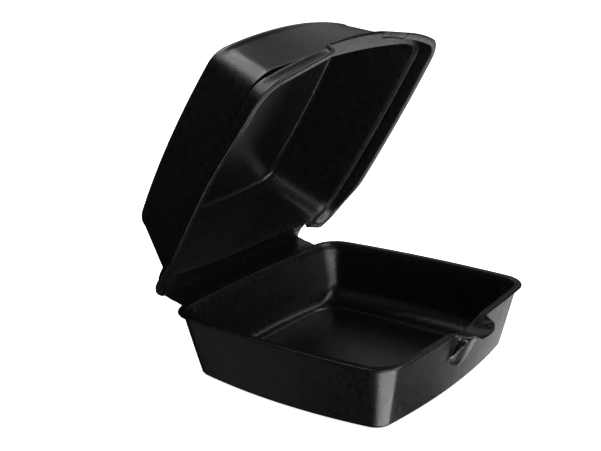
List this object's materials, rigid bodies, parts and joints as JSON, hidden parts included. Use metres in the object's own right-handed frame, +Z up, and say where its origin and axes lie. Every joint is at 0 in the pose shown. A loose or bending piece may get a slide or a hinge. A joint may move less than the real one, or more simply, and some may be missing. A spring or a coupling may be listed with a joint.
{
  "type": "foam clamshell container",
  "caption": "Black foam clamshell food box, half open: shallow square tray, deep domed lid with a stepped rim, crimped living hinge at the back and a thumb tongue at the front.",
  "frame": {"origin": "middle of the flat panel that the tray stands on", "axes": "+Z up, X along the fold, latch at -Y, fold at +Y"},
  "size_m": [0.1702, 0.1833, 0.1769],
  "materials": {
    "foam": "satin skin of thermoformed polystyrene foam"
  },
  "bodies": {
    "tray_body": {"tray": "foam"},
    "lid_body": {"lid": "foam"}
  },
  "joints": [
    {"name": "lid_fold", "type": "hinge", "parent": "tray_body", "child": "lid_body", "pos_m": [0, 0.081, 0.0387], "axis": [-1, 0, 0], "range_deg": [-58.5, 121.5]}
  ]
}
